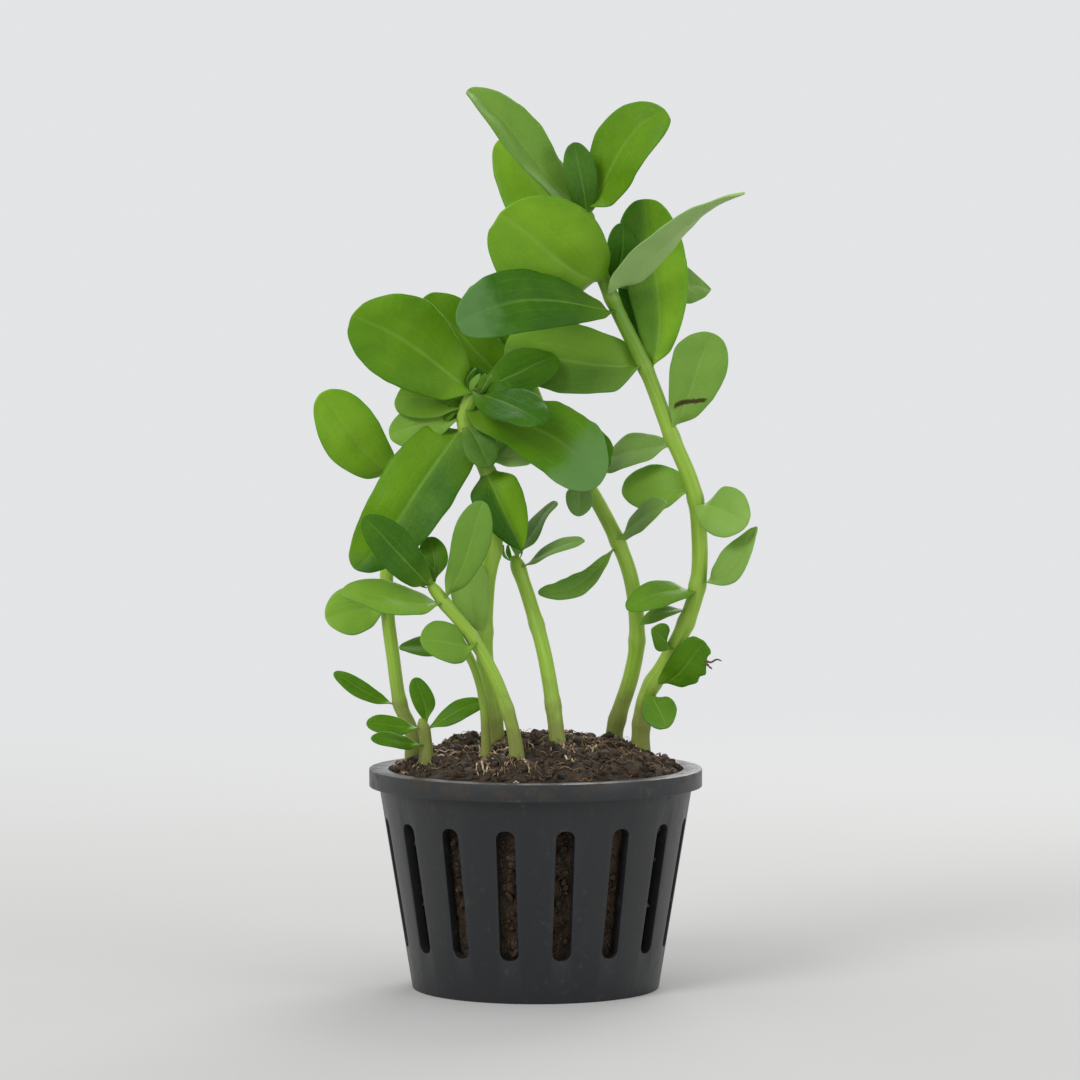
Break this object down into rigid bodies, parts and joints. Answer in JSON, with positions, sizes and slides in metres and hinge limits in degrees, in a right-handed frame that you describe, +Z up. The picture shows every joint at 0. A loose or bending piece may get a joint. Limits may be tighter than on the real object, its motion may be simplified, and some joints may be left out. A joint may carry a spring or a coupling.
{
  "type": "potted lemon bacopa",
  "caption": "Small aquarium plant with fleshy opposite leaves on upright stems, rooted in a fibrous plug in a slotted plastic net pot.",
  "frame": {"origin": "centre of the pot's underside", "axes": "+Z up, the plant's front towards -Y, +X to the right seen from the front"},
  "size_m": [0.062, 0.0464, 0.1254],
  "materials": {
    "pot_plastic": "satin moulded black polypropylene",
    "growing_medium": "damp dark brown plant fibre with pale roots",
    "stem_green": "smooth juicy yellow-green skin, brown at the foot",
    "leaf_bright": "smooth waxy bright green leaf with a paler midrib",
    "leaf_deep": "smooth waxy deeper green leaf with a paler midrib"
  },
  "bodies": {
    "root": {"basal_leaf_1": "leaf_deep", "basal_leaf_2": "leaf_deep", "basal_leaf_3": "leaf_deep", "basal_leaf_4": "leaf_deep", "center_leaf_1": "leaf_bright", "center_leaf_2": "leaf_bright", "center_leaf_3": "leaf_bright", "center_leaf_4": "leaf_bright", "center_leaf_5": "leaf_bright", "center_leaf_6": "leaf_bright", "front_leaf_1": "leaf_deep", "front_leaf_2": "leaf_deep", "front_leaf_3": "leaf_deep", "front_leaf_4": "leaf_deep", "front_leaf_5": "leaf_deep", "growing_medium": "growing_medium", "left_leaf_1": "leaf_deep", "left_leaf_2": "leaf_deep", "left_leaf_3": "leaf_deep", "left_leaf_4": "leaf_deep", "pot": "pot_plastic", "rosette_leaf_1": "leaf_bright", "rosette_leaf_2": "leaf_bright", "rosette_leaf_3": "leaf_bright", "rosette_leaf_4": "leaf_bright", "rosette_leaf_5": "leaf_bright", "rosette_leaf_6": "leaf_bright", "rosette_leaf_7": "leaf_bright", "rosette_leaf_8": "leaf_bright", "short_leaf_1": "leaf_deep", "short_leaf_2": "leaf_deep", "stem_basal": "stem_green", "stem_center": "stem_green", "stem_front": "stem_green", "stem_left": "stem_green", "stem_rosette": "stem_green", "stem_short": "stem_green", "stem_tall": "stem_green", "stem_thin": "stem_green", "tall_leaf_01": "leaf_bright", "tall_leaf_02": "leaf_bright", "tall_leaf_03": "leaf_bright", "tall_leaf_04": "leaf_bright", "tall_leaf_05": "leaf_bright", "tall_leaf_06": "leaf_bright", "tall_leaf_07": "leaf_bright", "tall_leaf_08": "leaf_bright", "tall_leaf_09": "leaf_bright", "tall_leaf_10": "leaf_bright", "tall_leaf_11": "leaf_bright", "tall_leaf_12": "leaf_bright", "tall_leaf_13": "leaf_bright", "tall_leaf_14": "leaf_bright", "tall_leaf_15": "leaf_bright", "tall_leaf_16": "leaf_bright", "tall_leaf_17": "leaf_bright", "tall_leaf_18": "leaf_bright", "tall_leaf_19": "leaf_bright", "tall_leaf_20": "leaf_bright", "thin_leaf": "leaf_deep"}
  },
  "joints": []
}
